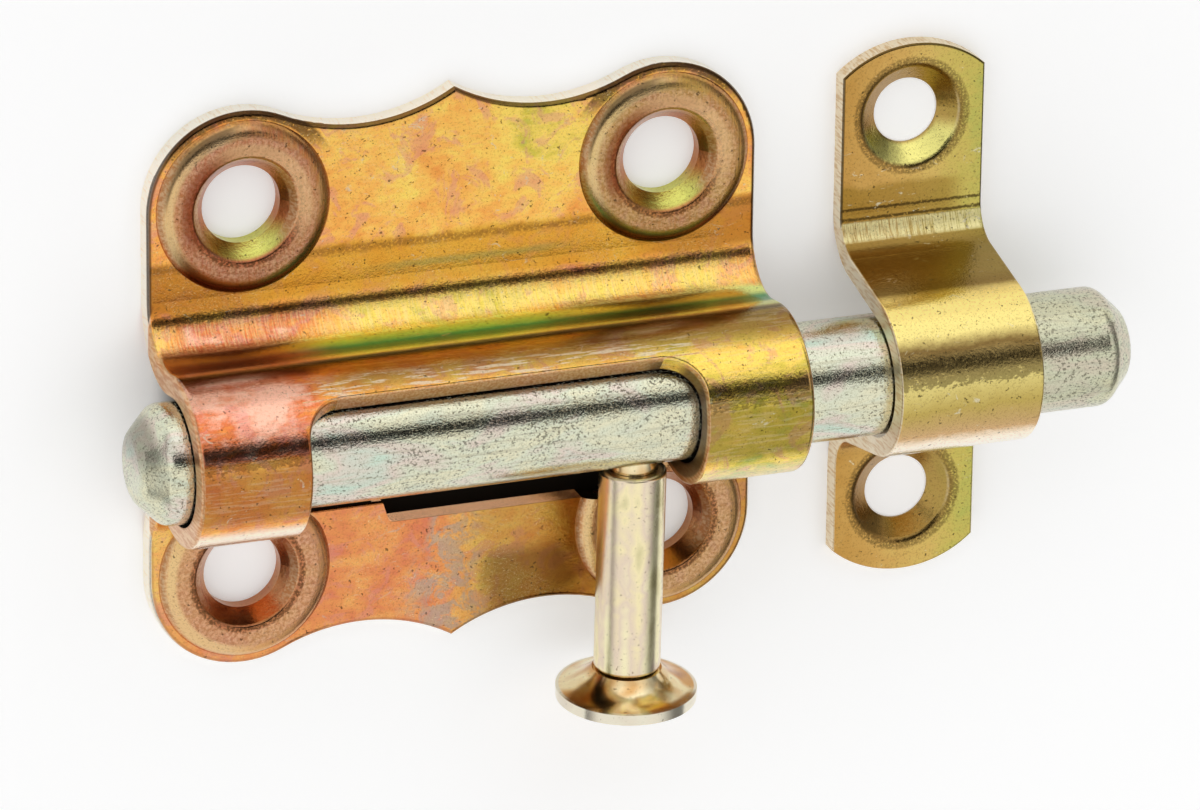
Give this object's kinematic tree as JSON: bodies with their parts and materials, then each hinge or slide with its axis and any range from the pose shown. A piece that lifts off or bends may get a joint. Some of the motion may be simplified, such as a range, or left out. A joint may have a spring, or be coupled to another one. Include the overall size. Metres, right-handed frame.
{
  "type": "slide bolt with keep",
  "caption": "Flat pressed door bolt: a round bar with a riveted knob slides in an arched, window-cut plate and through a separate arched keep.",
  "frame": {"origin": "centre of the plate's four-hole pattern, on the plate's back face", "axes": "+X along the bar towards its nose, +Y across the bar and away from the knob, +Z out of the door"},
  "size_m": [0.0857, 0.0529, 0.0163],
  "materials": {
    "plated_sheet": "iridescent yellow passivated zinc",
    "keep_sheet": "iridescent yellow passivated zinc",
    "plated_bar": "pale zinc, slightly pitted",
    "knob_head": "polished pale gold",
    "knob_tube": "pale gold, drawn lengthwise"
  },
  "bodies": {
    "plate": {"case": "plated_sheet"},
    "bar": {"bolt_bar": "plated_bar", "knob_rivet": "knob_head"},
    "sleeve": {"knob_sleeve": "knob_tube"},
    "keep": {"keep": "keep_sheet"}
  },
  "joints": [
    {"name": "bar_slide", "type": "slide", "parent": "plate", "child": "bar", "axis": [1, 0, 0], "range_m": [-0.0268, 0.0008]},
    {"name": "sleeve_spin", "type": "hinge", "parent": "bar", "child": "sleeve", "pos_m": [0.013, -0.0023, 0.0092], "axis": [0, -0.999, -0.0436], "continuous": true},
    {"name": "keep_off", "type": "slide", "parent": "plate", "child": "keep", "axis": [1, 0, 0], "range_m": [0, 0.03]}
  ]
}
